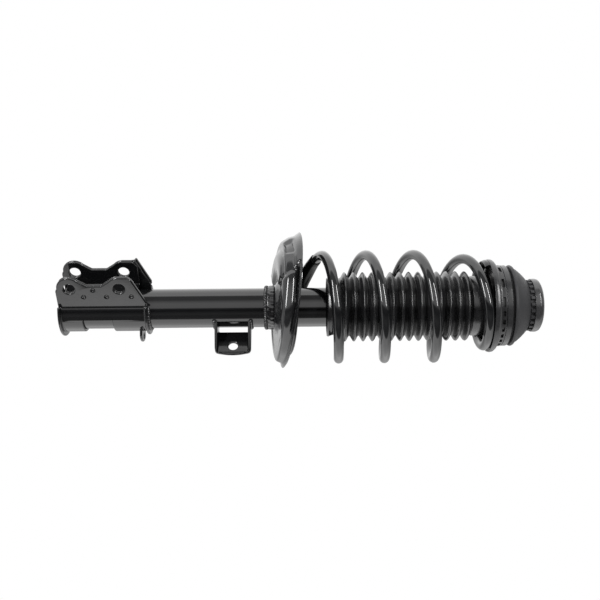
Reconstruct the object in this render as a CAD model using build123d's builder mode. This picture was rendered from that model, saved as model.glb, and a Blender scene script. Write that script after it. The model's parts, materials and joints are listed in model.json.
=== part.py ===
"""Front suspension strut assembly: damper, brackets, coil spring, dust boot and top bearing mount.

Millimetres. +Z runs along the strut axis from the foot of the tube (z = 0) to the top mount.
The knuckle bracket's ears point along +X and its bolts lie along Y.
"""

import math
import os

from build123d import *

os.makedirs("parts", exist_ok=True)

# ---------------------------------------------------------------- driving dimensions
TUBE_R = 25.5
TUBE_WALL = 2.25
TUBE_TOP = 372.0
TUBE_BORE_R = TUBE_R - TUBE_WALL

BRACKET_PLATE = 3.5
BRACKET_TOP = 114.0
BRACKET_R = TUBE_R + BRACKET_PLATE
EAR_HALF = 22.0
EAR_INSIDE = EAR_HALF - BRACKET_PLATE
BRACE_PLATE = 2.5
BOLT_HOLE_R = 7.25
BOLT_X = 46.5
BOLT_Z = (18.0, 81.0)
LOBE_R = 16.0

LINK_ANGLE = 105.0
LINK_Z = (198.5, 245.5)
LINK_PLATE = 4.0
LINK_HOLE_R = 6.1
LINK_HOLE_REACH = 46.8
LINK_BOW_R = 75.0

SEAT_ROLL = -35.0
SEAT_TILT = 0.13
SEAT_LEAN = 0.05
SEAT_Z = 279.0
SEAT_PLATE = 2.8
SEAT_SHIFT = 9.5
RIM_Z = 295.5
RIM_R = 88.5
DISH_R = 80.5
DISH_CORNER = 11.0
POCKET_DEPTH = 4.5
POCKET_START = -8.0
POCKET_SWEEP = 70.0
POCKET_END_SWEEP = 2.6

WIRE_R = 6.5
COIL_R = 67.5
COIL_END_R = 49.5
COIL_FOOT_R = 56.0
COIL_BASE_Z = 334.0
COIL_END_Z = 546.6
COIL_FIRST_TURN = -0.875
COIL_LAST_TURN = 4.0
COIL_POINTS_PER_TURN = 14
SLEEVE_WALL = 2.5
SLEEVE_LAST_TURN = -0.055

BOOT_PEAKS = 14
BOOT_PITCH = 12.05
BOOT_FIRST_PEAK = 366.8
BOOT_PEAK_R = 45.4
BOOT_VALLEY_R = 38.7
BOOT_COLLAR_R = 39.0
BOOT_WALL = 2.0

ROD_R = 10.0
ROD_SPIGOT_R = 7.0
STUD_R = 6.0
ROD_SHOULDER_Z = 572.5
PISTON_Z = 300.0
CYLINDER_R = 16.0
GUIDE_Z = 350.0

BALL_R = 2.4
BALL_TRACK_R = 46.0
BALL_Z = 566.0
BALLS = 24


# ---------------------------------------------------------------- shared shapes
def direction(angle):
    """Unit vector across the strut axis at an angle from +X."""
    return (math.cos(math.radians(angle)), math.sin(math.radians(angle)), 0)


def profile(corners, angle=0.0):
    """Face in the half plane through the strut axis, from (radius, height) corners."""
    x, y, _ = direction(angle)
    with BuildSketch(Plane(origin=(0, 0, 0), x_dir=(x, y, 0), z_dir=(y, -x, 0))) as face:
        with BuildLine():
            Polyline(*corners, close=True)
        make_face()
    return face.sketch


def band(inner, outer, low, high):
    """Rectangular ring section."""
    return [(inner, low), (outer, low), (outer, high), (inner, high)]


def smooth(value):
    """Ease from 0 to 1."""
    value = min(max(value, 0.0), 1.0)
    return value * value * (3 - 2 * value)


# ---------------------------------------------------------------- damper tube
with BuildPart() as reserve_tube:
    revolve(profile(band(TUBE_BORE_R, TUBE_R, 0, TUBE_TOP)), axis=Axis.Z)
reserve_tube.part.label = "reserve_tube"
export_step(reserve_tube.part, "parts/reserve_tube.step")

with BuildPart() as tube_base_cap:
    revolve(profile([(0, 0), (21, 0), (TUBE_BORE_R, 2), (TUBE_BORE_R, 6), (0, 6)]), axis=Axis.Z)
tube_base_cap.part.label = "tube_base_cap"
export_step(tube_base_cap.part, "parts/tube_base_cap.step")

with BuildPart() as tube_end_cap:
    revolve(
        profile([(12, 370.5), (TUBE_BORE_R, 370.5), (TUBE_BORE_R, TUBE_TOP), (TUBE_R, TUBE_TOP),
                 (TUBE_R, 362), (TUBE_R + 1.6, 362), (TUBE_R + 1.6, 374), (24, 375), (12, 375)]),
        axis=Axis.Z,
    )
tube_end_cap.part.label = "tube_end_cap"
export_step(tube_end_cap.part, "parts/tube_end_cap.step")

with BuildPart() as pressure_tube:
    revolve(profile(band(CYLINDER_R, CYLINDER_R + 1.5, 12, 356)), axis=Axis.Z)
pressure_tube.part.label = "pressure_tube"
export_step(pressure_tube.part, "parts/pressure_tube.step")

with BuildPart() as base_valve_body:
    revolve(
        profile([(3, 9), (12, 9), (15, 6), (TUBE_BORE_R, 6), (TUBE_BORE_R, 9), (20, 12),
                 (CYLINDER_R, 12), (CYLINDER_R, 20), (3, 20)]),
        axis=Axis.Z,
    )
    with Locations((0, 0, 13)):
        with PolarLocations(8, 6):
            Cylinder(1.8, 30, mode=Mode.SUBTRACT)
    with Locations((0, 0, 7)):
        with PolarLocations(19, 6):
            Box(12, 5, 3, mode=Mode.SUBTRACT)
base_valve_body.part.label = "base_valve_body"
export_step(base_valve_body.part, "parts/base_valve_body.step")

with BuildPart() as base_valve_disc:
    revolve(profile(band(3, 12, 20, 20.8)), axis=Axis.Z)
base_valve_disc.part.label = "base_valve_disc"
export_step(base_valve_disc.part, "parts/base_valve_disc.step")

with BuildPart() as base_valve_rivet:
    revolve(
        profile([(0, 7.5), (5, 7.5), (5, 9), (3, 9), (3, 20.8), (6, 20.8), (4.5, 24), (0, 24)]),
        axis=Axis.Z,
    )
base_valve_rivet.part.label = "base_valve_rivet"
export_step(base_valve_rivet.part, "parts/base_valve_rivet.step")

with BuildPart() as rod_guide:
    revolve(
        profile([(11.2, GUIDE_Z), (CYLINDER_R, GUIDE_Z), (CYLINDER_R, 356), (TUBE_BORE_R, 356),
                 (TUBE_BORE_R, 366), (11.2, 366)]),
        axis=Axis.Z,
    )
    with Locations((0, 0, 361)):
        with PolarLocations(20, 4):
            Cylinder(1.2, 14, mode=Mode.SUBTRACT)
rod_guide.part.label = "rod_guide"
export_step(rod_guide.part, "parts/rod_guide.step")

with BuildPart() as rod_guide_bush:
    revolve(profile(band(ROD_R + 0.04, 11.2, GUIDE_Z + 1, 366)), axis=Axis.Z)
rod_guide_bush.part.label = "rod_guide_bush"
export_step(rod_guide_bush.part, "parts/rod_guide_bush.step")

with BuildPart() as rod_seal:
    revolve(
        profile([(ROD_R + 0.03, 368), (11.5, 366), (22, 366), (22, 370.5), (11.5, 370.5),
                 (ROD_R + 0.03, 369)]),
        axis=Axis.Z,
    )
rod_seal.part.label = "rod_seal"
export_step(rod_seal.part, "parts/rod_seal.step")


# ---------------------------------------------------------------- knuckle bracket
def ear_outline(top_corner):
    """Side outline of the ears in X and Z: two lobes, a recess and a slanted top edge."""
    low, high = BOLT_Z
    recess = BOLT_X + 4
    with BuildSketch(Plane.XZ) as outline:
        with BuildLine():
            Polyline((-40, 0), (BOLT_X - 3, 0), (BOLT_X - 1, low - LOBE_R), (recess, low - 8),
                     (recess, 101), (26, BRACKET_TOP), (-40, BRACKET_TOP), close=True)
        make_face()
        for z, side in ((low, 1), (high, -1)):
            with Locations((BOLT_X, z)):
                Circle(LOBE_R)
            with BuildLine():
                Polyline((BOLT_X, z + 14 * side), (recess + 8, z + 10 * side),
                         (recess, z + 22 * side), (BOLT_X, z + 22 * side), close=True)
            make_face()
        with BuildLine():
            Polyline((BOLT_X, high), (BOLT_X + LOBE_R, high), (BOLT_X + LOBE_R, top_corner - 3),
                     (BOLT_X + LOBE_R - 2, top_corner), (recess, 102.4), (BOLT_X, 104), close=True)
        make_face()
    return outline.sketch


def bolt_holes():
    """Both bolt holes right through the clevis."""
    with BuildPart(mode=Mode.PRIVATE) as holes:
        with Locations(*[Location((BOLT_X, 0, z), (90, 0, 0)) for z in BOLT_Z]):
            Cylinder(BOLT_HOLE_R, 80)
    return holes.part


with BuildPart() as knuckle_bracket:
    with BuildSketch():
        Circle(BRACKET_R)
        with Locations((34, 0)):
            Rectangle(68, 2 * EAR_HALF)
        Circle(TUBE_R, mode=Mode.SUBTRACT)
        with Locations((40, 0)):
            Rectangle(80, 2 * EAR_INSIDE, mode=Mode.SUBTRACT)
    extrude(amount=BRACKET_TOP)
    extrude(ear_outline(97), amount=60, both=True, mode=Mode.INTERSECT)
    with Locations((-22, 0, 49)):
        Box(48, 80, 38, mode=Mode.SUBTRACT)
    for low, reach in ((0, 34.5), (BRACKET_TOP - BRACKET_PLATE, 33.5)):
        revolve(profile(band(TUBE_R + 1, reach, low, low + BRACKET_PLATE), 50), axis=Axis.Z,
                revolution_arc=260)
    add(bolt_holes(), mode=Mode.SUBTRACT)
    for x, z in ((34.8, 35), (44.8, 48), (34.8, 64), (34.8, 95.5)):
        with Locations(Location((x, EAR_HALF, z), (90, 0, 0))):
            Cylinder(2.4, 3.2, mode=Mode.SUBTRACT)
    for side in (-1, 1):
        with Locations(Location((44, side * (EAR_HALF + 2.4), 105.2), (0, 24.6, 0))):
            Box(40, 5, BRACKET_PLATE)
knuckle_bracket.part.label = "knuckle_bracket"
export_step(knuckle_bracket.part, "parts/knuckle_bracket.step")

with BuildPart() as bracket_brace:
    with BuildSketch():
        with Locations((44, 0)):
            Rectangle(36, 2 * EAR_INSIDE)
        with Locations((49 + BRACE_PLATE, 0)):
            Rectangle(46, 2 * (EAR_INSIDE - BRACE_PLATE), mode=Mode.SUBTRACT)
    extrude(amount=BRACKET_TOP - 14)
    extrude(ear_outline(95), amount=60, both=True, mode=Mode.INTERSECT)
    with Locations((44, 0, 2)):
        Box(60, 60, 8, mode=Mode.SUBTRACT)
    add(bolt_holes(), mode=Mode.SUBTRACT)
bracket_brace.part.label = "bracket_brace"
export_step(bracket_brace.part, "parts/bracket_brace.step")

with BuildPart() as bracket_weld:
    revolve(profile([(TUBE_R, BRACKET_TOP), (TUBE_R + 3.2, BRACKET_TOP),
                     (TUBE_R + 1.4, BRACKET_TOP + 1.6), (TUBE_R, BRACKET_TOP + 3.6)], 50),
            axis=Axis.Z, revolution_arc=260)
bracket_weld.part.label = "bracket_weld"
export_step(bracket_weld.part, "parts/bracket_weld.step")

with BuildPart() as hose_bracket:
    with BuildSketch(Plane(origin=(0, 0, 101.3), x_dir=direction(SEAT_ROLL + 180), z_dir=(0, 0, 1))):
        with Locations((28, 0)):
            Rectangle(14, 30)
        with Locations((33, 0)):
            Ellipse(10, 15)
        with Locations((35.5, 0)):
            Circle(4.2, mode=Mode.SUBTRACT)
    extrude(amount=3.4)
    with Locations((0, 0, 103)):
        Cylinder(BRACKET_R, 20, mode=Mode.SUBTRACT)
hose_bracket.part.label = "hose_bracket"
export_step(hose_bracket.part, "parts/hose_bracket.step")

# ---------------------------------------------------------------- stabiliser link bracket
LINK_REACH = direction(LINK_ANGLE)
LINK_NORMAL = direction(LINK_ANGLE - 90)

with BuildPart() as link_bracket:
    low, high = LINK_Z
    with BuildSketch(Plane(origin=(0, 0, low), x_dir=LINK_REACH, z_dir=(0, 0, 1))):
        with BuildLine():
            Polyline((12, -2), (24.6, -5.9), (56, 19), (60, 21.5), (60, 24), (15, 24), (12, 20),
                     close=True)
        make_face()
    extrude(amount=high - low)
    with Locations(Location((0, 0, (low + high) / 2), (0, 0, LINK_ANGLE))):
        with Locations((40, 0, 0)):
            Box(80, 40, high - low - 2 * LINK_PLATE, mode=Mode.SUBTRACT)
        with Locations((18, 22, 0)):
            Box(12, 10, high - low - 2 * LINK_PLATE, mode=Mode.SUBTRACT)
    with Locations((0, 0, (low + high) / 2)):
        Cylinder(TUBE_R, 100, mode=Mode.SUBTRACT)
    web_plane = Plane(origin=(0, 0, (low + high) / 2), x_dir=LINK_REACH, z_dir=LINK_NORMAL)
    with BuildSketch(web_plane):
        RectangleRounded(120, high - low, 9)
        with Locations((60 - LINK_BOW_R, 0)):
            Circle(LINK_BOW_R, mode=Mode.INTERSECT)
    extrude(amount=60, both=True, mode=Mode.INTERSECT)
    with BuildSketch(web_plane):
        with Locations((LINK_HOLE_REACH, 0)):
            Circle(LINK_HOLE_R)
    extrude(amount=60, both=True, mode=Mode.SUBTRACT)
link_bracket.part.label = "link_bracket"
export_step(link_bracket.part, "parts/link_bracket.step")


def flange_weld(height, side):
    """Fillet weld between the tube and a link bracket flange, on the flange's outer face."""
    corners = [(TUBE_R, height), (TUBE_R + 3.4, height), (TUBE_R + 1.3, height + 1.3 * side),
               (TUBE_R, height + 3.4 * side)]
    with BuildPart(mode=Mode.PRIVATE) as bead:
        revolve(profile(corners, LINK_ANGLE - 14), axis=Axis.Z, revolution_arc=60)
    return bead.part


with BuildPart() as link_weld_low:
    add(flange_weld(LINK_Z[0], -1))
link_weld_low.part.label = "link_weld_low"
export_step(link_weld_low.part, "parts/link_weld_low.step")

with BuildPart() as link_weld_high:
    add(flange_weld(LINK_Z[1], 1))
link_weld_high.part.label = "link_weld_high"
export_step(link_weld_high.part, "parts/link_weld_high.step")

# ---------------------------------------------------------------- lower spring seat
SEAT_SIDE = direction(SEAT_ROLL)
SEAT_FRONT = direction(SEAT_ROLL + 90)
SEAT_PLANE = Plane(
    origin=(SEAT_SHIFT * SEAT_SIDE[0], SEAT_SHIFT * SEAT_SIDE[1], SEAT_Z + SEAT_LEAN * SEAT_SHIFT),
    x_dir=SEAT_SIDE[:2] + (SEAT_LEAN,),
    z_dir=tuple(-SEAT_LEAN * a - SEAT_TILT * b for a, b in zip(SEAT_SIDE[:2], SEAT_FRONT[:2])) + (1,),
)
RIM_PLANE = Plane(
    origin=(SEAT_SHIFT * SEAT_SIDE[0], SEAT_SHIFT * SEAT_SIDE[1], RIM_Z + SEAT_TILT * SEAT_SHIFT),
    z_dir=tuple(-SEAT_TILT * (a + b) for a, b in zip(SEAT_SIDE[:2], SEAT_FRONT[:2])) + (1,),
)

POCKET_BACK = [(44, 0), (48, -POCKET_DEPTH), (64, -POCKET_DEPTH), (70, 0.5), (67, SEAT_PLATE)]
POCKET_CHANNEL = POCKET_BACK + [(62.6, SEAT_PLATE - POCKET_DEPTH),
                                (49.4, SEAT_PLATE - POCKET_DEPTH), (45.6, SEAT_PLATE),
                                (44, SEAT_PLATE)]
POCKET_END = POCKET_BACK + [(44, SEAT_PLATE)]


with BuildPart() as dish:
    with BuildSketch(Plane.XZ):
        with BuildLine():
            Line((12, 0), (DISH_R - DISH_CORNER, 0))
            RadiusArc((DISH_R - DISH_CORNER, 0), (DISH_R, DISH_CORNER), -DISH_CORNER)
            Polyline((DISH_R, DISH_CORNER), (DISH_R + 4.5, 44), (DISH_R + 4.5 - SEAT_PLATE, 44),
                     (DISH_R - SEAT_PLATE, DISH_CORNER))
            RadiusArc((DISH_R - SEAT_PLATE, DISH_CORNER), (DISH_R - DISH_CORNER, SEAT_PLATE),
                      DISH_CORNER - SEAT_PLATE)
            Polyline((DISH_R - DISH_CORNER, SEAT_PLATE), (12, SEAT_PLATE), (12, 0))
        make_face()
    revolve(axis=Axis.Z)
    revolve(profile([(45.6, -1), (68.6, -1), (67, 4), (45.6, 4)], POCKET_START + 2), axis=Axis.Z,
            revolution_arc=POCKET_SWEEP - 4, mode=Mode.SUBTRACT)
    for section, start, sweep_angle in (
        (POCKET_CHANNEL, POCKET_START, POCKET_SWEEP),
        (POCKET_END, POCKET_START, POCKET_END_SWEEP),
        (POCKET_END, POCKET_START + POCKET_SWEEP - POCKET_END_SWEEP, POCKET_END_SWEEP),
    ):
        revolve(profile(section, start), axis=Axis.Z, revolution_arc=sweep_angle)

with BuildPart() as lower_spring_seat:
    add(dish.part.moved(SEAT_PLANE.location))
    split(bisect_by=RIM_PLANE, keep=Keep.BOTTOM)
    with BuildSketch(RIM_PLANE):
        Circle(RIM_R)
        Circle(DISH_R - 2, mode=Mode.SUBTRACT)
    extrude(amount=-SEAT_PLATE)
    revolve(profile(band(TUBE_R, TUBE_R + 3, SEAT_Z - 4, SEAT_Z + 12)), axis=Axis.Z)
    with Locations((0, 0, SEAT_Z)):
        Cylinder(TUBE_R, 60, mode=Mode.SUBTRACT)
lower_spring_seat.part.label = "lower_spring_seat"
export_step(lower_spring_seat.part, "parts/lower_spring_seat.step")

with BuildPart() as seat_collar:
    revolve(profile(band(TUBE_R, 28.2, 266, SEAT_Z - 4)), axis=Axis.Z)
seat_collar.part.label = "seat_collar"
export_step(seat_collar.part, "parts/seat_collar.step")

with BuildPart() as seat_weld:
    revolve(profile([(TUBE_R, 266), (28, 266), (26.8, 263), (TUBE_R, 261.5)]), axis=Axis.Z)
seat_weld.part.label = "seat_weld"
export_step(seat_weld.part, "parts/seat_weld.step")


# ---------------------------------------------------------------- coil spring
def wire_centre(turn):
    """Centre of the spring wire, with turn 0 at the first full coil above the lower seat."""
    rise = smooth((turn + 0.5) / 0.5)
    close = smooth((turn - 3.15) / 0.45)
    shrink = smooth((turn - 2.5) / 1.3)
    angle = 2 * math.pi * turn
    radius = COIL_FOOT_R + (COIL_R - COIL_FOOT_R) * rise - (COIL_R - COIL_END_R) * shrink
    rest = SEAT_Z + 12.3 + radius * (SEAT_TILT * math.sin(angle) + SEAT_LEAN * math.cos(angle))
    free = COIL_BASE_Z + 55 * turn + 2.3 * turn * turn + 7.2 * math.cos(angle - math.radians(63))
    height = rest + (free - rest) * rise
    height += (COIL_END_Z - height) * close
    x, y, _ = direction(SEAT_ROLL + math.degrees(angle))
    return (radius * x, radius * y, height)


def wire(last_turn, outer, inner=0.0):
    """Round section swept along the coil from its foot to a given turn."""
    steps = round((last_turn - COIL_FIRST_TURN) * COIL_POINTS_PER_TURN)
    stations = [COIL_FIRST_TURN + i / COIL_POINTS_PER_TURN for i in range(steps + 1)]
    corners = [Vector(*wire_centre(turn)) for turn in stations]
    corners[-1] = (corners[-2] + corners[-1]) / 2
    with BuildPart(mode=Mode.PRIVATE) as coil:
        with BuildLine() as path:
            FilletPolyline(*corners, radius=40)
        line = path.wires()[0]
        with BuildSketch(Plane(origin=line @ 0, z_dir=line % 0)):
            Circle(outer)
            if inner:
                Circle(inner, mode=Mode.SUBTRACT)
        sweep(path=line)
    return coil.part


with BuildPart() as coil_spring:
    add(wire(COIL_LAST_TURN, WIRE_R))
coil_spring.part.label = "coil_spring"
export_step(coil_spring.part, "parts/coil_spring.step")

with BuildPart() as lower_insulator:
    add(wire(SLEEVE_LAST_TURN, WIRE_R + SLEEVE_WALL, WIRE_R + 0.02))
lower_insulator.part.label = "lower_insulator"
export_step(lower_insulator.part, "parts/lower_insulator.step")

# ---------------------------------------------------------------- dust boot
boot_outer = [(37.6, 343.5), (38.4, 345.5), (36.5, 349.5), (35.5, 358)]
for peak in range(BOOT_PEAKS):
    middle = BOOT_FIRST_PEAK + BOOT_PITCH * peak
    boot_outer.append((BOOT_VALLEY_R, middle - BOOT_PITCH / 2))
    boot_outer.append((BOOT_PEAK_R, middle - 1.1))
    boot_outer.append((BOOT_PEAK_R, middle + 1.1))
boot_outer += [(BOOT_VALLEY_R, 529.6), (BOOT_COLLAR_R, 531), (BOOT_COLLAR_R, 555.5)]

with BuildPart() as dust_boot:
    revolve(profile(boot_outer + [(radius - BOOT_WALL, z) for radius, z in reversed(boot_outer)]),
            axis=Axis.Z)
dust_boot.part.label = "dust_boot"
export_step(dust_boot.part, "parts/dust_boot.step")

# ---------------------------------------------------------------- upper seat and bearing
with BuildPart() as upper_spring_seat:
    revolve(
        profile([(35.2, 536), (37, 536), (37, 555.5), (57, 555.5), (58.4, 554.4), (58.8, 552.6),
                 (60.2, 552.4), (60.8, 555), (60.2, 558), (58, 560.4), (53, 561.4), (53, 568.2),
                 (50, 568.2), (50, 559.5), (35.2, 559.5)]),
        axis=Axis.Z,
    )
    for count, first, pitch, sweep_angle in ((6, -145, 28, 13), (15, 11, 11.8, 7)):
        for step in range(count):
            middle = SEAT_ROLL + 90 + first + pitch * step
            revolve(profile(band(49, 54, 563.6, 566.4), middle - sweep_angle / 2), axis=Axis.Z,
                    revolution_arc=sweep_angle, mode=Mode.SUBTRACT)
upper_spring_seat.part.label = "upper_spring_seat"
export_step(upper_spring_seat.part, "parts/upper_spring_seat.step")

with BuildPart() as upper_insulator:
    revolve(
        profile([(39.1, 548), (40.9, 548), (40.9, 554.2), (58.2, 554.2), (57, 555.5),
                 (39.1, 555.5)]),
        axis=Axis.Z,
    )
    revolve(profile([(57, 546), (58.2, 546), (59.8, 549.5), (60.2, 552.2), (58.6, 552.4),
                     (58.2, 554.2), (57, 554.2)], SEAT_ROLL - 30), axis=Axis.Z, revolution_arc=60)
upper_insulator.part.label = "upper_insulator"
export_step(upper_insulator.part, "parts/upper_insulator.step")

with BuildPart() as bearing_lower_race:
    revolve(profile(band(42, 50, 559.5, BALL_Z - 1.6)), axis=Axis.Z)
    with Locations((0, 0, BALL_Z)):
        Torus(BALL_TRACK_R, BALL_R + 0.03, mode=Mode.SUBTRACT)
bearing_lower_race.part.label = "bearing_lower_race"
export_step(bearing_lower_race.part, "parts/bearing_lower_race.step")

with BuildPart() as bearing_upper_race:
    revolve(profile(band(42, 49.8, BALL_Z + 1.6, ROD_SHOULDER_Z)), axis=Axis.Z)
    with Locations((0, 0, BALL_Z)):
        Torus(BALL_TRACK_R, BALL_R + 0.03, mode=Mode.SUBTRACT)
bearing_upper_race.part.label = "bearing_upper_race"
export_step(bearing_upper_race.part, "parts/bearing_upper_race.step")

with BuildPart() as bearing_balls:
    with Locations((0, 0, BALL_Z)):
        with PolarLocations(BALL_TRACK_R, BALLS):
            Sphere(BALL_R)
bearing_balls.part.label = "bearing_balls"
export_step(bearing_balls.part, "parts/bearing_balls.step")

with BuildPart() as bearing_cage:
    revolve(profile(band(43.2, 48.8, BALL_Z - 1, BALL_Z + 1)), axis=Axis.Z)
    with Locations((0, 0, BALL_Z)):
        with PolarLocations(BALL_TRACK_R, BALLS):
            Cylinder(BALL_R + 0.05, 8, mode=Mode.SUBTRACT)
bearing_cage.part.label = "bearing_cage"
export_step(bearing_cage.part, "parts/bearing_cage.step")

with BuildPart() as bearing_cover:
    revolve(
        profile([(50, 569), (52.6, 569), (52.6, 575.2), (51.6, 576.5), (38, 576.5),
                 (38, ROD_SHOULDER_Z), (50, ROD_SHOULDER_Z)]),
        axis=Axis.Z,
    )
bearing_cover.part.label = "bearing_cover"
export_step(bearing_cover.part, "parts/bearing_cover.step")

# ---------------------------------------------------------------- rubber top mount
with BuildPart() as mount_insert:
    revolve(profile([(18, 576.5), (44, 576.5), (44, 579.5), (21, 579.5), (21, 592), (18, 592)]),
            axis=Axis.Z)
mount_insert.part.label = "mount_insert"
export_step(mount_insert.part, "parts/mount_insert.step")

with BuildPart() as mount_core:
    revolve(profile([(STUD_R, ROD_SHOULDER_Z), (13, ROD_SHOULDER_Z), (13, 612), (STUD_R, 612)]),
            axis=Axis.Z)
mount_core.part.label = "mount_core"
export_step(mount_core.part, "parts/mount_core.step")

with BuildPart() as mount_rubber:
    revolve(
        profile([(13, 576.5), (18, 576.5), (18, 592), (21, 592), (21, 579.5), (44, 579.5),
                 (44, 576.5), (46, 576.5), (46, 580), (51.7, 580), (52.8, 581), (52.8, 583),
                 (51.7, 584), (50.2, 584), (33, 603), (31.8, 603.4), (31.8, 609), (13, 609)]),
        axis=Axis.Z,
    )
    with Locations((0, 0, 606)):
        with PolarLocations(31.8, 24):
            Box(2.8, 3, 6)
mount_rubber.part.label = "mount_rubber"
export_step(mount_rubber.part, "parts/mount_rubber.step")

with BuildPart() as rebound_cushion:
    revolve(profile([(20.8, 611), (20.8, 609), (31.9, 609), (31.9, 614.6), (27.8, 618.4),
                     (22.4, 618.4), (20.8, 616.8)]), axis=Axis.Z)
rebound_cushion.part.label = "rebound_cushion"
export_step(rebound_cushion.part, "parts/rebound_cushion.step")

with BuildPart() as rebound_cup:
    revolve(
        profile([(STUD_R, 612), (20.8, 612), (20.8, 616.8), (22.4, 618.4), (27.8, 618.4),
                 (31.9, 614.6), (31.9, 609.2), (34.2, 609.2), (34.6, 610), (34.6, 615.4),
                 (33.2, 618.6), (29.5, 621), (21.5, 621), (18.2, 618), (18.2, 614.6),
                 (STUD_R, 614.6)]),
        axis=Axis.Z,
    )
rebound_cup.part.label = "rebound_cup"
export_step(rebound_cup.part, "parts/rebound_cup.step")

with BuildPart() as top_nut:
    with BuildSketch(Plane.XY.offset(614.6)):
        RegularPolygon(9.2, 6)
        Circle(STUD_R, mode=Mode.SUBTRACT)
    extrude(amount=5.4)
top_nut.part.label = "top_nut"
export_step(top_nut.part, "parts/top_nut.step")

# ---------------------------------------------------------------- piston rod and piston
with BuildPart() as piston_rod:
    revolve(
        profile([(0, 284.5), (6.4, 284.5), (ROD_SPIGOT_R, 285.1), (ROD_SPIGOT_R, 320), (ROD_R, 320),
                 (ROD_R, ROD_SHOULDER_Z), (STUD_R, ROD_SHOULDER_Z), (STUD_R, 619.6), (5, 620.6),
                 (0, 620.6)]),
        axis=Axis.Z,
    )
piston_rod.part.label = "piston_rod"
export_step(piston_rod.part, "parts/piston_rod.step")

with BuildPart() as piston:
    revolve(
        profile([(ROD_SPIGOT_R, PISTON_Z), (15.6, PISTON_Z), (15.6, PISTON_Z + 3),
                 (14.4, PISTON_Z + 3), (14.4, PISTON_Z + 15), (15.6, PISTON_Z + 15),
                 (15.6, PISTON_Z + 18), (ROD_SPIGOT_R, PISTON_Z + 18)]),
        axis=Axis.Z,
    )
    with Locations((0, 0, PISTON_Z + 9)):
        with PolarLocations(10.8, 8):
            Cylinder(1.5, 40, mode=Mode.SUBTRACT)
piston.part.label = "piston"
export_step(piston.part, "parts/piston.step")

with BuildPart() as piston_band:
    revolve(profile(band(14.4, CYLINDER_R - 0.04, PISTON_Z + 3, PISTON_Z + 15)), axis=Axis.Z)
piston_band.part.label = "piston_band"
export_step(piston_band.part, "parts/piston_band.step")

with BuildPart() as rebound_discs:
    revolve(profile([(ROD_SPIGOT_R, 297.4), (9.5, 297.4), (13.4, 299), (13.4, PISTON_Z),
                     (ROD_SPIGOT_R, PISTON_Z)]), axis=Axis.Z)
rebound_discs.part.label = "rebound_discs"
export_step(rebound_discs.part, "parts/rebound_discs.step")

with BuildPart() as compression_discs:
    revolve(profile([(ROD_SPIGOT_R, 318), (13.4, 318), (13.4, 318.8), (10, 320), (ROD_SPIGOT_R, 320)]),
            axis=Axis.Z)
compression_discs.part.label = "compression_discs"
export_step(compression_discs.part, "parts/compression_discs.step")

with BuildPart() as piston_nut:
    with BuildSketch(Plane.XY.offset(288.4)):
        RegularPolygon(11.5, 6)
        Circle(ROD_SPIGOT_R, mode=Mode.SUBTRACT)
    extrude(amount=9)
piston_nut.part.label = "piston_nut"
export_step(piston_nut.part, "parts/piston_nut.step")

with BuildPart() as rebound_stop_collar:
    revolve(profile([(ROD_R, 334), (12, 334), (14, 337), (14, 340), (ROD_R, 340)]), axis=Axis.Z)
rebound_stop_collar.part.label = "rebound_stop_collar"
export_step(rebound_stop_collar.part, "parts/rebound_stop_collar.step")

with BuildPart() as rebound_stop_ring:
    revolve(profile([(ROD_R, 340), (14.6, 340), (14.6, 348), (13.4, 349.8), (ROD_R, 349.8)]),
            axis=Axis.Z)
rebound_stop_ring.part.label = "rebound_stop_ring"
export_step(rebound_stop_ring.part, "parts/rebound_stop_ring.step")

# ---------------------------------------------------------------- bump stop
with BuildPart() as bump_stop_retainer:
    revolve(
        profile([(ROD_R, 548.6), (26, 548.6), (26, 543), (28, 543), (28, 549.6), (26.6, 551),
                 (14, 551), (14, ROD_SHOULDER_Z), (ROD_R, ROD_SHOULDER_Z)]),
        axis=Axis.Z,
    )
bump_stop_retainer.part.label = "bump_stop_retainer"
export_step(bump_stop_retainer.part, "parts/bump_stop_retainer.step")

with BuildPart() as bump_stop:
    revolve(
        profile([(10.4, 466), (14, 466), (17.5, 470), (18.5, 478), (15.5, 482), (20, 487),
                 (21.5, 496), (17.5, 501), (22.5, 506), (24, 516), (19.5, 521), (24, 527),
                 (25.5, 534), (25.5, 548.6), (10.4, 548.6)]),
        axis=Axis.Z,
    )
bump_stop.part.label = "bump_stop"
export_step(bump_stop.part, "parts/bump_stop.step")
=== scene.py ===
"""Looks of the strut assembly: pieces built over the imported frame, finishes, lights and camera.

Metres in Blender, millimetres in the shape tables (multiplied by MM where vertices are made).
+Z runs along the strut axis. UP and TOWARDS are the two directions across it that the camera uses.
"""

import json
import math
import random

import bmesh
import bpy
from mathutils import Matrix, Vector


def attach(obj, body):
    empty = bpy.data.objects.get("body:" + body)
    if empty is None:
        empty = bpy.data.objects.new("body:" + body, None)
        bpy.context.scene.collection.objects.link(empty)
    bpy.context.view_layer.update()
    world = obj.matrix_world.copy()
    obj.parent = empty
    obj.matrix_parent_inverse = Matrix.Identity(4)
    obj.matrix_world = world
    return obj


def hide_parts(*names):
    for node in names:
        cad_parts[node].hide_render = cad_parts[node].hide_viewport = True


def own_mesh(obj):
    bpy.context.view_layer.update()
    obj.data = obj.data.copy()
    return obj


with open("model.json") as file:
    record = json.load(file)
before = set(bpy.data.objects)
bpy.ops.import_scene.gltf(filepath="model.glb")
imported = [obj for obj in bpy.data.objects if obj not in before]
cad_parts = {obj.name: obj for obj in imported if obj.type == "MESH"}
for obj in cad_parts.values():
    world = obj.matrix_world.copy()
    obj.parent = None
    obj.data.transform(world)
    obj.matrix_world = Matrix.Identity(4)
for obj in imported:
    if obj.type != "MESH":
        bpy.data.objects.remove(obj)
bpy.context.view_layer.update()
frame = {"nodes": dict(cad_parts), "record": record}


def direction(angle):
    """Unit vector across the strut axis at an angle in degrees from +X."""
    return Vector((math.cos(math.radians(angle)), math.sin(math.radians(angle)), 0))


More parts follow.
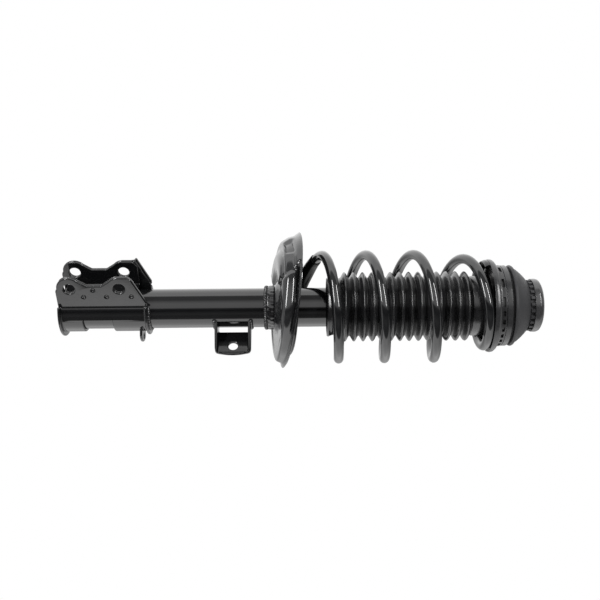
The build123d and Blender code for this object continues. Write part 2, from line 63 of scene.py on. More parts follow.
# ---------------------------------------------------------------- dimensions
MM = 0.001
SEAT_ROLL = -35.0
FRONT = SEAT_ROLL + 90
UP = direction(SEAT_ROLL)
TOWARDS = direction(FRONT)
AXIS = Vector((0, 0, 1))

TUBE_R = 25.5
TUBE_BORE_R = 23.25
TUBE_TOP = 372.0
BRACKET_TOP = 114.0
LINK_ANGLE = 105.0
LINK_Z = (198.5, 245.5)

SEAT_TILT = 0.13
SEAT_LEAN = 0.05
SEAT_Z = 279.0
SEAT_PLATE = 2.8
SEAT_SHIFT = 9.5
RIM_Z = 295.5
RIM_R = 88.5
POCKET_DEPTH = 4.6

WIRE_R = 6.5
SLEEVE_R = 9.0
COIL_R = 67.5
COIL_END_R = 49.5
COIL_FOOT_R = 56.0
COIL_BASE_Z = 334.0
COIL_END_Z = 546.6
COIL_FIRST_TURN = -0.875
COIL_LAST_TURN = 3.965
COIL_PITCH = 55.0
COIL_PITCH_GROWTH = 2.3
COIL_SWAY = 7.2
COIL_SWAY_TOP = 63.0
SLEEVE_LAST_TURN = -0.055

BOOT_PEAKS = 14
BOOT_STEPS = 14
BOOT_PITCH = 12.05
BOOT_FIRST_PEAK = 366.8
BOOT_PEAK_R = 45.4
BOOT_VALLEY_R = 38.0
STOP_TOP = 548.6

ROUND = 160

FLOOR_R = 0.6
FLOOR_DROP = 0.3
CAMERA_BACK = 1.150
CAMERA_RAISE = 0.0096
CAMERA_ALONG = 0.309
CAMERA_ROLL = 0.52


# ---------------------------------------------------------------- shape helpers
def smooth(value):
    """Ease from 0 to 1."""
    value = min(max(value, 0.0), 1.0)
    return value * value * (3 - 2 * value)


def rounded(corners, closed, steps=5):
    """Chain of (r, z) points with the corners given as (r, z, fillet) rounded off."""
    points = []
    count = len(corners)
    for index, corner in enumerate(corners):
        here = Vector(corner[:2])
        fillet = corner[2] if len(corner) > 2 else 0.0
        at_end = not closed and index in (0, count - 1)
        if not fillet or at_end:
            points.append(tuple(here))
            continue
        before = Vector(corners[index - 1][:2]) - here
        after = Vector(corners[(index + 1) % count][:2]) - here
        half = before.angle(after) / 2
        reach = min(fillet / math.tan(half), 0.48 * before.length, 0.48 * after.length)
        first = here + before.normalized() * reach
        last = here + after.normalized() * reach
        for step in range(steps + 1):
            t = step / steps
            points.append(tuple(first * (1 - t) ** 2 + here * 2 * t * (1 - t) + last * t * t))
    return points


def finish_mesh(name, body, slot, bm, sharp=40.0):
    """Turn a bmesh in millimetres into a piece on a body, with smooth shading and its finish."""
    bmesh.ops.remove_doubles(bm, verts=bm.verts, dist=0.002)
    bmesh.ops.dissolve_degenerate(bm, edges=bm.edges, dist=0.001)
    bmesh.ops.recalc_face_normals(bm, faces=bm.faces)
    bmesh.ops.scale(bm, vec=(MM, MM, MM), verts=bm.verts)
    mesh = bpy.data.meshes.new(name)
    bm.to_mesh(mesh)
    bm.free()
    mesh.shade_smooth()
    mesh.set_sharp_from_angle(angle=math.radians(sharp))
    mesh.materials.append(finishes[slot])
    piece = bpy.data.objects.new(name, mesh)
    bpy.context.scene.collection.objects.link(piece)
    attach(piece, body)
    return piece


def grid(rows, wrap_rows, wrap_columns):
    """Bmesh of quads over rows of points, closed round the rows or the columns where asked."""
    bm = bmesh.new()
    net = [[bm.verts.new(point) for point in row] for row in rows]
    row_count = len(net)
    column_count = len(net[0])
    for i in range(row_count if wrap_rows else row_count - 1):
        for j in range(column_count if wrap_columns else column_count - 1):
            a = net[i][j]
            b = net[(i + 1) % row_count][j]
            c = net[(i + 1) % row_count][(j + 1) % column_count]
            d = net[i][(j + 1) % column_count]
            bm.faces.new((a, b, c, d))
    return bm


def turns(count):
    """Even angles in degrees for one full turn."""
    return [360.0 * i / count for i in range(count)]


def lathe(name, body, slot, corners, closed=True, angles=None, arc=False, radius=None,
          sharp=40.0, steps=5):
    """Turned piece: a rounded (r, z) section carried round the strut axis.

    angles are the stations round the axis, a full turn unless arc is set, and then the ends
    are flat. radius(r, z, angle) shapes the piece round the axis."""
    section = rounded(corners, closed, steps)
    rows = []
    for angle in angles or turns(ROUND):
        out = direction(angle)
        row = []
        for r, z in section:
            reach = radius(r, z, angle) if radius else r
            row.append((out.x * reach, out.y * reach, z))
        rows.append(row)
    bm = grid(rows, not arc, closed)
    if arc:
        bm.verts.ensure_lookup_table()
        size = len(section)
        bm.faces.new([bm.verts[i] for i in range(size)])
        bm.faces.new([bm.verts[len(bm.verts) - size + i] for i in range(size)])
    return finish_mesh(name, body, slot, bm, sharp)


def arc_angles(first, last, step=2.0):
    """Angles from first to last in even steps near the size asked."""
    count = max(2, round((last - first) / step))
    return [first + (last - first) * i / count for i in range(count + 1)]


def tube_along(centres, radii, sides=32):
    """Bmesh of a round section along centres, held square to the strut axis, with closed ends."""
    rows = []
    for index, centre in enumerate(centres):
        ahead = centres[min(index + 1, len(centres) - 1)]
        behind = centres[max(index - 1, 0)]
        tangent = (ahead - behind).normalized()
        out = Vector((centre.x, centre.y, 0))
        out = (out - tangent * out.dot(tangent)).normalized()
        side = tangent.cross(out)
        row = []
        for k in range(sides):
            turn = 2 * math.pi * k / sides
            row.append(centre + (out * math.cos(turn) + side * math.sin(turn)) * radii[index])
        rows.append(row)
    bm = grid(rows, False, True)
    bm.verts.ensure_lookup_table()
    bm.faces.new([bm.verts[k] for k in range(sides)])
    bm.faces.new([bm.verts[(len(rows) - 1) * sides + k] for k in range(sides)])
    return bm


def softened(name, node, body, slot, width, corner=28.0):
    """Copy of a pressed CAD node with its plate edges rounded over."""
    bm = bmesh.new()
    bm.from_mesh(frame["nodes"][node].data)
    bmesh.ops.scale(bm, vec=(1 / MM, 1 / MM, 1 / MM), verts=bm.verts)
    bmesh.ops.remove_doubles(bm, verts=bm.verts, dist=0.01)
    bmesh.ops.dissolve_limit(bm, angle_limit=math.radians(0.4), verts=bm.verts, edges=bm.edges)
    edges = []
    for edge in bm.edges:
        if len(edge.link_faces) == 2 and edge.calc_face_angle() > math.radians(corner):
            edges.append(edge)
    bmesh.ops.bevel(bm, geom=edges, offset=width, segments=3, profile=0.5, affect="EDGES",
                    clamp_overlap=False)
    piece = finish_mesh(name, body, slot, bm, 60.0)
    flatten = piece.modifiers.new("flat_faces", "WEIGHTED_NORMAL")
    flatten.weight = 100
    flatten.keep_sharp = True
    return piece


# ---------------------------------------------------------------- finishes
def finish(name, colour, roughness, metallic=0.0, grain=420.0, depth=0.00001, mottle=0.25,
           wear=0.25, cloud=38.0, stretch=(1, 1, 1), specular=0.5, pits=0.0):
    """Procedural finish: clouded colour and roughness, fine surface grain and small pits.

    grain, cloud and pits are texture scales per metre, depth is the bump's height in metres, and
    mottle and wear are the shares by which colour and roughness vary."""
    material = bpy.data.materials.new(name)
    material.use_nodes = True
    nodes = material.node_tree.nodes
    links = material.node_tree.links
    shader = nodes["Principled BSDF"]
    shader.inputs["Metallic"].default_value = metallic
    shader.inputs["Specular IOR Level"].default_value = specular
    surface = nodes.new("ShaderNodeTexCoord")
    scale = nodes.new("ShaderNodeMapping")
    scale.inputs["Scale"].default_value = stretch
    links.new(surface.outputs["Object"], scale.inputs["Vector"])

    def noise(size, detail, distortion=0.0):
        """Noise texture on the piece's own coordinates."""
        node = nodes.new("ShaderNodeTexNoise")
        node.inputs["Scale"].default_value = size
        node.inputs["Detail"].default_value = detail
        node.inputs["Distortion"].default_value = distortion
        links.new(scale.outputs["Vector"], node.inputs["Vector"])
        return node

    def spread(source, low, high, start=0.3, end=0.7):
        """Stretch a texture's start to end over low to high."""
        node = nodes.new("ShaderNodeMapRange")
        node.inputs["From Min"].default_value = start
        node.inputs["From Max"].default_value = end
        node.inputs["To Min"].default_value = low
        node.inputs["To Max"].default_value = high
        links.new(source, node.inputs["Value"])
        return node

    clouds = noise(cloud, 4, 0.4)
    fine = noise(grain, 3)
    tint = nodes.new("ShaderNodeMix")
    tint.data_type = "RGBA"
    tint.inputs["A"].default_value = tuple(c * (1 - mottle) for c in colour) + (1,)
    tint.inputs["B"].default_value = tuple(min(1, c * (1 + mottle)) for c in colour) + (1,)
    links.new(clouds.outputs["Fac"], tint.inputs["Factor"])
    links.new(tint.outputs["Result"], shader.inputs["Base Color"])
    rough = spread(noise(cloud * 2.7, 5, 0.2).outputs["Fac"], roughness * (1 - wear),
                   roughness * (1 + wear))
    links.new(rough.outputs["Result"], shader.inputs["Roughness"])
    height = fine.outputs["Fac"]
    if pits:
        spots = nodes.new("ShaderNodeTexVoronoi")
        spots.inputs["Scale"].default_value = pits
        links.new(scale.outputs["Vector"], spots.inputs["Vector"])
        hollow = spread(spots.outputs["Distance"], -7.0, 0.0, 0.04, 0.16)
        total = nodes.new("ShaderNodeMath")
        total.operation = "ADD"
        links.new(height, total.inputs[0])
        links.new(hollow.outputs["Result"], total.inputs[1])
        height = total.outputs["Value"]
    bump = nodes.new("ShaderNodeBump")
    bump.inputs["Strength"].default_value = 1.0
    bump.inputs["Distance"].default_value = depth
    links.new(height, bump.inputs["Height"])
    links.new(bump.outputs["Normal"], shader.inputs["Normal"])
    return material


# Colour, roughness and options of each finish, named as the record's material slots.
FINISHES = {
    "gloss_black_paint": ((0.0035, 0.0036, 0.0039), 0.085, dict(grain=260, depth=0.000012)),
    "weld_bead": ((0.005, 0.005, 0.0055), 0.15, dict(grain=620, depth=0.00022)),
    "spring_coating": ((0.005, 0.0052, 0.0056), 0.09, dict(grain=500, depth=0.00001)),
    "seat_coating": ((0.007, 0.0072, 0.0077), 0.125, dict(grain=300, depth=0.00001)),
    "sleeve_rubber": ((0.004, 0.004, 0.0043), 0.18, dict(grain=800, depth=0.00002, specular=0.12)),
    "boot_rubber": ((0.006, 0.006, 0.0064), 0.24, dict(grain=700, depth=0.000015)),
    "mount_rubber": ((0.026, 0.026, 0.0272), 0.42,
                     dict(grain=700, depth=0.00004, pits=95, specular=0.12)),
    "bump_foam": ((0.3, 0.24, 0.13), 0.8, dict(grain=1400, depth=0.0001, pits=700)),
    "stop_rubber": ((0.02, 0.02, 0.021), 0.5, dict(grain=800, depth=0.00003)),
    "cup_coating": ((0.02, 0.02, 0.0208), 0.24, dict(grain=420, depth=0.00002)),
    "zinc_steel": ((0.5, 0.5, 0.48), 0.34, dict(metallic=1, grain=600, depth=0.00002, cloud=120)),
    "rod_chrome": ((0.62, 0.63, 0.65), 0.08,
                   dict(metallic=1, grain=500, depth=0.000004, stretch=(1, 1, 14))),
    "bare_steel": ((0.38, 0.38, 0.39), 0.34,
                   dict(metallic=1, grain=500, depth=0.00002, stretch=(1, 1, 9), cloud=60)),
    "bearing_steel": ((0.55, 0.56, 0.58), 0.12,
                      dict(metallic=1, grain=600, depth=0.000005, cloud=90)),
    "bearing_plastic": ((0.014, 0.014, 0.0146), 0.27,
                        dict(grain=600, depth=0.000015, specular=0.35)),
    "low_friction_lining": ((0.1, 0.07, 0.045), 0.4, dict(grain=900, depth=0.00002, cloud=150)),
}
finishes = {
    name: finish(name, colour, roughness, **options)
    for name, (colour, roughness, options) in FINISHES.items()
}
for entry in frame["record"]["subparts"]:
    for carried_slot in frame["nodes"][entry["node"]].material_slots:
        carried_slot.material = finishes[entry["material_slot"]]

# ---------------------------------------------------------------- damper tube and its welds
tube = lathe(
    "tube", "strut_body", "gloss_black_paint",
    [(TUBE_BORE_R, 0), (TUBE_R, 0, 0.7), (TUBE_R, TUBE_TOP, 0.8), (TUBE_BORE_R, TUBE_TOP)],
)
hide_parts("reserve_tube")

base_cap = lathe(
    "foot_plug", "strut_body", "gloss_black_paint",
    [(0, 0.9), (9, 0.7, 4), (19.4, 0.1, 2), (21.6, 1.1, 1.2), (TUBE_BORE_R, 1.9),
     (TUBE_BORE_R, 6), (0, 6)],
    closed=False,
)
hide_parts("tube_base_cap")


RIPPLE_PITCH = 2.3
RIPPLE_STEPS = 6


def weld(name, node, centre, first, last, size, seed, ripple=0.16):
    """Weld bead round the tube: centre is (r, z), size its radius, with overlapping ripples."""
    rng = random.Random(seed)
    length = math.radians(last - first) * centre[0]
    ripples = max(3, round(length / RIPPLE_PITCH))
    count = ripples * RIPPLE_STEPS
    centres = []
    radii = []
    drift = [rng.uniform(-0.22, 0.22) for _ in range(ripples + 2)]
    for i in range(count + 1):
        t = i / count
        phase = t * ripples
        wave = 1 - ripple + ripple * abs(math.sin(math.pi * phase)) ** 0.6
        part = phase - int(phase)
        shift = drift[int(phase)] * (1 - part) + drift[int(phase) + 1] * part
        taper = min(1, 12 * min(t, 1 - t) + 0.55) if last - first < 359 else 1
        out = direction(first + (last - first) * t)
        centres.append(out * (centre[0] + 0.3 * shift) + AXIS * (centre[1] + shift))
        radii.append(size * wave * taper)
    bead = finish_mesh(name, "strut_body", "weld_bead", tube_along(centres, radii, 16), 60.0)
    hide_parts(node)


weld("bracket_bead", "bracket_weld", (TUBE_R + 0.5, BRACKET_TOP + 0.4), 50, 310, 2.6, seed=3)
weld("link_bead_low", "link_weld_low", (TUBE_R + 0.5, LINK_Z[0] - 0.2), LINK_ANGLE - 14,
     LINK_ANGLE + 46, 2.6, seed=5)
weld("link_bead_high", "link_weld_high", (TUBE_R + 0.5, LINK_Z[1] + 0.2), LINK_ANGLE - 14,
     LINK_ANGLE + 46, 2.6, seed=7)
weld("seat_bead", "seat_weld", (TUBE_R + 0.6, 265.2), 0, 359.9, 3.0, seed=9, ripple=0.3)


def lumpy(r, z, angle):
    """Radius of the collar with the lumps that weld spatter leaves on it."""
    turn = math.radians(angle)
    lump = math.sin(17 * turn + 1.1 * z) * math.sin(11 * turn - 0.8 * z)
    lump += math.sin(29 * turn + 2.3 * z)
    return r + (0.28 * lump if r > 27 else 0)


collar = lathe(
    "neck_collar", "strut_body", "weld_bead",
    [(TUBE_R, 265.6), (27.6, 265.6, 0.8), (28.4, 268, 1), (28.4, 270.2), (28.3, 272.6), (28.2, 275),
     (TUBE_R, 275)],
    radius=lumpy,
)
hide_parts("seat_collar")

# ---------------------------------------------------------------- brackets
for name, node, width in (
    ("clevis", "knuckle_bracket", 1.45),
    ("clevis_liner", "bracket_brace", 1.0),
    ("link_ear", "link_bracket", 1.4),
    ("hose_tab", "hose_bracket", 1.3),
):
    plate = softened(name, node, "strut_body", "gloss_black_paint", width)
    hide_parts(node)


# ---------------------------------------------------------------- lower spring seat
def seat_point(phi, rho, z):
    """Point at an angle and reach from the dish's own centre, at a height."""
    out = UP * math.cos(phi) + TOWARDS * math.sin(phi)
    spot = UP * SEAT_SHIFT + out * rho
    return Vector((spot.x, spot.y, z))


def hub_reach(phi, radius):
    """Reach from the dish centre to a circle about the strut axis."""
    return -SEAT_SHIFT * math.cos(phi) + math.sqrt(radius ** 2 - (SEAT_SHIFT * math.sin(phi)) ** 2)


def floor_z(phi, rho):
    """Height of the back of the dish floor."""
    sideways = SEAT_SHIFT + rho * math.cos(phi)
    return SEAT_Z + SEAT_TILT * rho * math.sin(phi) + SEAT_LEAN * sideways


def rim_z(phi, rho=RIM_R):
    """Height of the front of the rim."""
    return RIM_Z + SEAT_TILT * (SEAT_SHIFT + rho * math.cos(phi) + rho * math.sin(phi))


def window(angle, first, last, edge):
    """1 between first and last degrees, easing to 0 over edge degrees outside."""
    return smooth((angle - first + edge) / edge) * smooth((last + edge - angle) / edge)


def sampled(corners, count=19):
    """Evenly spread points along a rounded (reach, share of wall height) chain."""
    chain = rounded([(r, 25 * share, fillet) for r, share, fillet in corners], False, 6)
    steps = [(Vector(b) - Vector(a)).length for a, b in zip(chain, chain[1:])]
    total = sum(steps)
    points = []
    for i in range(count):
        left = total * i / (count - 1)
        index = 0
        while index < len(steps) - 1 and left > steps[index]:
            left -= steps[index]
            index += 1
        spot = Vector(chain[index]).lerp(Vector(chain[index + 1]), min(1, left / steps[index]))
        points.append((spot.x, spot.y / 25))
    return points


# Outlines of the dish wall from the floor to the rim: plain, and across and beside the pocket.
DISH_WALL = sampled([(67, 0, 0), (79, 0.0, 13), (82.4, 0.8, 5), (88.2, 0.985, 0)])
POCKET_TOP = sampled([(67, 0, 0), (75.5, 0.0, 9), (82.0, 0.42, 8), (83.6, 0.70, 8),
                      (88.2, 0.985, 0)])
POCKET_SIDE = sampled([(67, 0, 0), (79.0, 0.0, 5), (80.6, 0.54, 3), (85.8, 0.70, 5),
                       (88.2, 0.985, 0)])

# The neck's flare as (radius, height), and the spring channel as (radius, share of its depth).
NECK_FOOT = [(28.4, 275.0), (28.9, 275.1), (30.2, 276.6), (32.4, 278.0)]
CHANNEL = [(36.0, 0.0), (41.0, 0.0), (44.5, 0.35), (48.0, 0.9), (54.0, 1.0), (60.0, 1.0),
           (66.0, 1.0), (70.0, 0.75), (73.0, 0.2)]
# The lobe's steps, then the groove between it and the rim as (reach, share of the wall).
LOBE_STEPS = 14
LOBE_GROOVE = [(84.0, 0.86), (85.6, 0.885), (87.2, 0.93), (88.2, 0.985)]
# Where the channel, the pocket's dimple and the lobe lie: first and last degrees, and easing.
CHANNEL_SPAN = (-58, 60, 6)
DIMPLE_SPAN = (22, 38, 6)
DIMPLE_DEPTH = 4.0
LOBE_SPAN = (70, 100, 38)


def seat_outer(phi):
    """Outer face of the dish from its neck to the rim edge, as (reach, height) points."""
    degrees = (math.degrees(phi) + 180) % 360 - 180
    top = rim_z(phi)
    back = floor_z(phi, 76)
    wall = top - back
    lift = SEAT_TILT * math.sin(phi) + SEAT_LEAN * math.cos(phi)
    path = [(hub_reach(phi, radius), z + 0.4 * radius * lift) for radius, z in NECK_FOOT]
    channel = POCKET_DEPTH * window(degrees, *CHANNEL_SPAN)
    for step, (radius, depth) in enumerate(CHANNEL):
        rho = min(hub_reach(phi, radius), 58 + step)
        path.append((rho, floor_z(phi, rho) - channel * depth))
    steepness = smooth((abs(degrees) - 12) / 34)
    lobe_r = 0.5 * wall
    for step, (plain, gentle, sheer) in enumerate(zip(DISH_WALL, POCKET_TOP, POCKET_SIDE)):
        pressed = window(degrees, -62, 66 - 13 * gentle[1], 5)
        bulge = window(degrees, *LOBE_SPAN) * (1 - pressed)
        turn = math.radians(-96 + 158 * min(step / LOBE_STEPS, 1))
        reach = min(hub_reach(phi, 87.2), 88.0) - lobe_r
        lobe = (reach + lobe_r * math.cos(turn), back - 3 + lobe_r * (1 + math.sin(turn)))
        if step > LOBE_STEPS:
            reach, share = LOBE_GROOVE[step - LOBE_STEPS - 1]
            lobe = (reach, back + wall * share)
        pocket = [a + (b - a) * steepness for a, b in zip(gentle, sheer)]
        pocket[0] -= DIMPLE_DEPTH * window(degrees, *DIMPLE_SPAN) * (
            smooth((pocket[1] - 0.06) / 0.12)) * smooth((0.60 - pocket[1]) / 0.12)
        rho = plain[0] + (lobe[0] - plain[0]) * bulge
        z = back + wall * plain[1]
        z += (lobe[1] - z) * bulge
        path.append((rho + (pocket[0] - rho) * pressed,
                     z + (back + wall * pocket[1] - z) * pressed))
    path.append((RIM_R, top - 0.3))
    return path


def offset_path(path, thickness):
    """The same path moved sideways by the plate thickness, towards the inside of the dish."""
    moved = []
    for index, point in enumerate(path):
        ahead = path[min(index + 1, len(path) - 1)]
        behind = path[max(index - 1, 0)]
        run = Vector((ahead[0] - behind[0], ahead[1] - behind[1])).normalized()
        moved.append((point[0] - run.y * thickness, point[1] + run.x * thickness))
    return moved


def seat_row(phi):
    """Closed section of the seat at one angle round the dish centre."""
    outer = seat_outer(phi)
    inner = offset_path(outer[5:], SEAT_PLATE)
    tip = outer[-1]
    inner[-1] = (tip[0] - 1.6, tip[1] + 0.4)
    inner[-2] = (tip[0] - 2.6, tip[1] - 0.3)
    neck = [(hub_reach(phi, r), z) for r, z in ((31.2, 284.0), (29.0, 286.5), (28.4, 290.2),
                                                (27.9, 291.0), (TUBE_R, 291.0), (TUBE_R, 275.0))]
    section = outer + [(tip[0] - 0.3, tip[1] + 0.45)] + inner[::-1] + neck
    return [seat_point(phi, rho, z) for rho, z in section]


seat_rows = [seat_row(math.radians(angle)) for angle in turns(288)]
seat = finish_mesh("dish", "strut_body", "seat_coating", grid(seat_rows, True, True), 46.0)
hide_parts("lower_spring_seat")


# ---------------------------------------------------------------- coil spring and its sleeve
def wire_centre(turn):
    """Centre of the spring wire, with turn 0 at the first full coil above the lower seat."""
    rise = smooth((turn + 0.5) / 0.5)
    close = smooth((turn - 3.15) / 0.45)
    shrink = smooth((turn - 2.5) / 1.3)
    angle = 2 * math.pi * turn
    radius = COIL_FOOT_R + (COIL_R - COIL_FOOT_R) * rise - (COIL_R - COIL_END_R) * shrink
    rest = SEAT_Z + 12.3 + radius * (SEAT_TILT * math.sin(angle) + SEAT_LEAN * math.cos(angle))
    free = COIL_BASE_Z + COIL_PITCH * turn + COIL_PITCH_GROWTH * turn * turn
    free += COIL_SWAY * math.cos(angle - math.radians(COIL_SWAY_TOP))
    height = rest + (free - rest) * rise
    height += (COIL_END_Z - height) * close
    return direction(SEAT_ROLL + math.degrees(angle)) * radius + AXIS * height


def wire_run(first, last, radius, end_round, per_turn=52):
    """Centres and radii along the coil between two turns, with rounded ends."""
    count = round((last - first) * per_turn)
    centres = [wire_centre(first + (last - first) * i / count) for i in range(count + 1)]
    radii = [radius] * len(centres)
    start = (centres[0] - centres[1]).normalized()
    stop = (centres[-1] - centres[-2]).normalized()
    for step in range(1, 4):
        turn = math.radians(30 * step)
        ease = radius - end_round * (1 - math.cos(turn))
        centres.insert(0, centres[0] + start * end_round * 0.35)
        centres.append(centres[-1] + stop * end_round * 0.35)
        radii.insert(0, ease)
        radii.append(ease)
    return centres, radii


spring = finish_mesh("spring_wire", "strut_body", "spring_coating",
                     tube_along(*wire_run(COIL_FIRST_TURN, COIL_LAST_TURN, WIRE_R, 0.8)))
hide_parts("coil_spring")
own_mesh(spring)

sleeve_centres, sleeve_radii = wire_run(COIL_FIRST_TURN + 0.012, SLEEVE_LAST_TURN, SLEEVE_R, 0.9)
for i in range(4):
    sleeve_radii[-4 - i] -= 1.3 * (1 - smooth(i / 4))
for i in range(3):
    sleeve_radii[-1 - i] -= 1.3
sleeve = finish_mesh("spring_sleeve", "strut_body", "sleeve_rubber",
                     tube_along(sleeve_centres, sleeve_radii))
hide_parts("lower_insulator")

# ---------------------------------------------------------------- dust boot
boot_wall = [(33.5, 358), (34.5, 349.5), (36.2, 345.8), (35.6, 343.5, 0.6), (37.8, 343.5, 0.8),
             (38.6, 345.4, 0.9), (36.9, 349.6, 2), (35.8, 355, 2)]
boot_points = rounded(boot_wall, False)
for step in range(BOOT_PEAKS * BOOT_STEPS + 1):
    fold = step / BOOT_STEPS - 0.5
    crest = (0.5 + 0.5 * math.cos(2 * math.pi * fold)) ** 0.9
    boot_points.append((BOOT_VALLEY_R + (BOOT_PEAK_R - BOOT_VALLEY_R) * crest,
                        BOOT_FIRST_PEAK + BOOT_PITCH * fold))
boot_points += [(39.0, 531.6), (39.05, 540), (39.0, 555.4), (37.0, 555.4), (37.0, 529.6),
                (36.7, 450), (36.7, 361)]
boot = lathe("boot", "spring_seat", "boot_rubber", boot_points, sharp=50.0)
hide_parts("dust_boot")
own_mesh(boot)

foam = lathe(
    "stop_foam", "top_mount", "bump_foam",
    [(10.4, 466), (14, 466, 1.5), (17.5, 470, 2), (18.5, 478, 3), (15.5, 482, 1.5), (20, 487, 3),
     (21.5, 496, 3), (17.5, 501, 1.5), (22.5, 506, 3), (24, 516, 3), (19.5, 521, 1.5),
     (24, 527, 3), (25.5, 534, 3), (25.5, STOP_TOP, 0.5), (10.4, STOP_TOP)],
)
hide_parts("bump_stop")
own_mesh(foam)

# ---------------------------------------------------------------- upper seat, bearing, cover
slots = [(FRONT - 145 + 28 * i, 6.5) for i in range(6)]
slots += [(FRONT + 11 + 11.8 * i, 3.5) for i in range(15)]
SLOT_EDGE = 0.35
SLOT_DEPTH = 2.8
SLOT_Z = (563.6, 566.4)
BAND_R = 53.0


def in_slot(angle):
    """Whether an angle in degrees lies inside a slot."""
    return any(abs((angle - middle + 180) % 360 - 180) <= half + 0.01 for middle, half in slots)


def banded(r, z, angle):
    """Radius of the slotted band."""
    if SLOT_Z[0] - 0.05 < z < SLOT_Z[1] + 0.05 and r > BAND_R - 0.5 and in_slot(angle):
        return r - SLOT_DEPTH
    return r


band_angles = set(turns(ROUND))
for middle, half in slots:
    for offset in (-half - SLOT_EDGE, -half, half, half + SLOT_EDGE):
        band_angles.add((middle + offset) % 360)
upper_seat = lathe(
    "slotted_seat", "spring_seat", "bearing_plastic",
    [(35.2, 536), (37, 536, 0.6), (37, 555.5, 0.5), (57, 555.5, 0.4), (58.4, 554.4, 0.4),
     (58.8, 552.6, 0.3), (60.2, 552.4, 0.5), (60.8, 555, 1.5), (60.2, 558, 1.6),
     (58, 560.4, 1.6), (53.2, 561.2, 0.6), (BAND_R, 563.3), (BAND_R, SLOT_Z[0]),
     (BAND_R, SLOT_Z[1]), (BAND_R, 566.7), (BAND_R, 568.2, 0.4), (50, 568.2), (50, 559.5),
     (35.2, 559.5)],
    angles=sorted(band_angles),
    radius=banded,
    sharp=35.0,
)
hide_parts("upper_spring_seat")

pad = lathe(
    "spring_pad", "spring_seat", "sleeve_rubber",
    [(39.1, 548), (40.9, 548, 0.5), (40.9, 554.2, 0.8), (58.2, 554.2, 0.5), (57, 555.5),
     (39.1, 555.5)],
)
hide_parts("upper_insulator")
lathe(
    "spring_hood", "spring_seat", "sleeve_rubber",
    [(57, 546), (58.2, 546, 0.4), (59.8, 549.5, 2), (60.2, 552.2, 0.6), (58.6, 552.5),
     (58.2, 554.2), (57, 554.2)],
    angles=arc_angles(SEAT_ROLL - 30, SEAT_ROLL + 30),
    arc=True,
)

cover = lathe(
    "top_cover", "top_mount", "bearing_plastic",
    [(50, 569), (52.6, 569, 0.5), (52.6, 575.4, 0.7), (51.5, 576.5, 0.5), (38, 576.5),
     (38, 572.5), (50, 572.5)],
)
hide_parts("bearing_cover")

# ---------------------------------------------------------------- rubber mount, cup, nut, stud
NECK_RIBS = 24
RIB_DEPTH = 2.9


def ribbed(r, z, angle):
    """Radius of the mount's neck with its upright ribs."""
    if 603.3 < z < 609.1 and r > 29:
        share = (angle / (360 / NECK_RIBS)) % 1
        return r + RIB_DEPTH * smooth((0.30 - abs(share - 0.5)) / 0.10)
    return r


cone = [(50.4, 584), (46.6, 588.6), (42.4, 592.9), (38.4, 597.0), (35.2, 600.4), (33.2, 602.8)]
mount_corners = [(13, 576.5), (46, 576.5), (46, 579.8, 0.5), (51.5, 579.9, 1.2), (53.0, 581.8, 1.4),
                 (52.0, 584.1, 1.2), (50.4, 584.0, 0.5)]
mount_corners += [(r + 1.1 * math.sin(math.pi * i / 5), z + 0.8 * math.sin(math.pi * i / 5))
                  for i, (r, z) in enumerate(cone)][1:]
mount_corners += [(31.2, 603.2), (30.3, 603.9), (30.3, 608.8), (13, 609)]
mount = lathe("mount_cone", "top_mount", "mount_rubber", mount_corners, angles=turns(480),
              radius=ribbed, sharp=42.0)
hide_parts("mount_rubber")

cup = lathe(
    "cup", "top_mount", "cup_coating",
    [(6.3, 612), (20.8, 612), (20.8, 616.8), (22.4, 618.4), (27.8, 618.4), (31.9, 614.6),
     (31.9, 609.2), (34.2, 609.2, 0.5), (34.6, 610.2, 0.6), (34.7, 615.4, 3.6), (33.4, 618.6, 3),
     (29.4, 621, 3), (21.6, 621, 2.4), (18.2, 618, 1.2), (18.2, 614.6, 0.6), (6.3, 614.6)],
    steps=7,
)
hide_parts("rebound_cup")

nut = softened("stud_nut", "top_nut", "top_mount", "zinc_steel", 0.5)
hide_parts("top_nut")

# ---------------------------------------------------------------- floor, lights, camera
disc = bmesh.new()
bmesh.ops.create_circle(disc, cap_ends=True, segments=96, radius=FLOOR_R)
bmesh.ops.translate(disc, vec=(0, 0, -FLOOR_DROP), verts=disc.verts)
disc_mesh = bpy.data.meshes.new("floor")
disc.to_mesh(disc_mesh)
disc.free()
floor = bpy.data.objects.new("floor", disc_mesh)
bpy.context.scene.collection.objects.link(floor)
disc_mesh.materials.append(finish("floor_white", (0.86, 0.86, 0.86), 0.7, mottle=0.03, grain=60))

# Brightness of the studio round the strut, by angle in degrees from TOWARDS, positive to UP.
RING = [(-180, 0.8), (-160, 0.6), (-140, 1.3), (-125, 2.2), (-88, 2.4), (-69.5, 2.6),
        (-66, 0.5), (-62, 0.22), (-45, 0.16), (-33, 0.26), (-21, 0.10), (-15, 0.0), (-6, 0.08),
        (-1, 0.25), (1, 1.3), (6, 1.6), (27, 1.65), (39, 1.15), (50, 0.45), (70, 0.42),
        (75, 0.6), (79, 2.7), (100, 2.15), (125, 1.95), (140, 1.8), (160, 1.5), (180, 0.8)]
RING_MAX = 2.8

world = bpy.data.worlds.new("studio")
world.use_nodes = True
bpy.context.scene.world = world
sky = world.node_tree.nodes
sky_links = world.node_tree.links
back = sky["Background"]
back.inputs["Color"].default_value = (1, 1, 1, 1)
coords = sky.new("ShaderNodeTexCoord")


def world_dot(axis):
    """Component of the looking direction along an axis."""
    node = sky.new("ShaderNodeVectorMath")
    node.operation = "DOT_PRODUCT"
    node.inputs[1].default_value = tuple(axis)
    sky_links.new(coords.outputs["Generated"], node.inputs[0])
    return node.outputs["Value"]


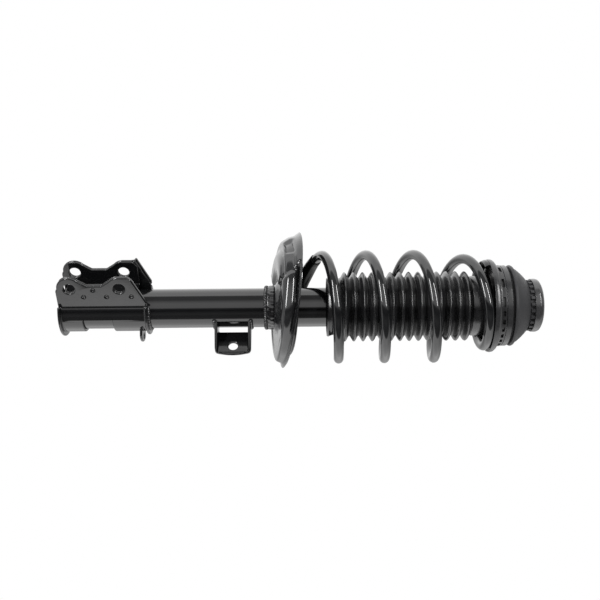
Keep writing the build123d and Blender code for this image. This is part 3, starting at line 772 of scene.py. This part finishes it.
def world_math(operation, first, second):
    """Math node on two sockets of the world."""
    node = sky.new("ShaderNodeMath")
    node.operation = operation
    sky_links.new(first, node.inputs[0])
    sky_links.new(second, node.inputs[1])
    return node.outputs["Value"]


def world_range(source, first, last, start, end):
    """Map a socket of the world from one range to another."""
    node = sky.new("ShaderNodeMapRange")
    node.inputs["From Min"].default_value = first
    node.inputs["From Max"].default_value = last
    node.inputs["To Min"].default_value = start
    node.inputs["To Max"].default_value = end
    sky_links.new(source, node.inputs["Value"])
    return node.outputs["Result"]


around = world_math("ARCTAN2", world_dot(UP), world_dot(TOWARDS))
ramp = sky.new("ShaderNodeValToRGB")
stops = ramp.color_ramp.elements
while len(stops) < len(RING):
    stops.new(0.5)
for stop_mark, (angle, brightness) in zip(stops, RING):
    stop_mark.position = (angle + 180) / 360
    grey = brightness / RING_MAX
    stop_mark.color = (grey, grey, grey, 1)
sky_links.new(world_range(around, -math.pi, math.pi, 0, 1), ramp.inputs["Fac"])
# Dimmed past the top mount, and plain white where the camera looks straight at it.
fade = world_range(world_dot(AXIS), 0.3, 0.9, RING_MAX, 0.45 * RING_MAX)
ray = sky.new("ShaderNodeLightPath")
level = sky.new("ShaderNodeMix")
level.data_type = "FLOAT"
level.inputs["B"].default_value = 1.0
sky_links.new(ray.outputs["Is Camera Ray"], level.inputs["Factor"])
sky_links.new(world_math("MULTIPLY", ramp.outputs["Color"], fade), level.inputs["A"])
sky_links.new(level.outputs["Result"], back.inputs["Strength"])

MIDDLE = Vector((0, 0, 0.42))


def softbox(name, along, above, distance, width, height, radiance):
    """Tall area light aimed at the middle of the strut, at angles in degrees from TOWARDS."""
    lamp = bpy.data.lights.new(name, "AREA")
    lamp.shape = "RECTANGLE"
    lamp.size = width
    lamp.size_y = height
    lamp.energy = radiance * math.pi * width * height
    holder = bpy.data.objects.new(name, lamp)
    bpy.context.scene.collection.objects.link(holder)
    level_out = TOWARDS * math.cos(math.radians(along)) + AXIS * math.sin(math.radians(along))
    out = level_out * math.cos(math.radians(above)) + UP * math.sin(math.radians(above))
    tall = (UP - out * UP.dot(out)).normalized()
    wide = tall.cross(out)
    turned = Matrix((wide, tall, out)).transposed().to_4x4()
    holder.matrix_world = Matrix.Translation(MIDDLE + out * distance) @ turned


for side_name, along in (("softbox_left", -44), ("softbox_right", 44)):
    softbox(side_name, along, above=24, distance=1.4, width=0.17, height=1.0, radiance=34)

lens = bpy.data.cameras.new("camera")
lens.lens = 52.7
lens.sensor_width = 36
camera = bpy.data.objects.new("camera", lens)
bpy.context.scene.collection.objects.link(camera)
roll = math.radians(CAMERA_ROLL)
across = AXIS * math.cos(roll) - UP * math.sin(roll)
upward = UP * math.cos(roll) + AXIS * math.sin(roll)
stand = TOWARDS * CAMERA_BACK + UP * CAMERA_RAISE + AXIS * CAMERA_ALONG
facing = Matrix((across, upward, TOWARDS)).transposed().to_4x4()
camera.matrix_world = Matrix.Translation(stand) @ facing
bpy.context.scene.camera = camera
bpy.context.scene.view_settings.view_transform = "Standard"
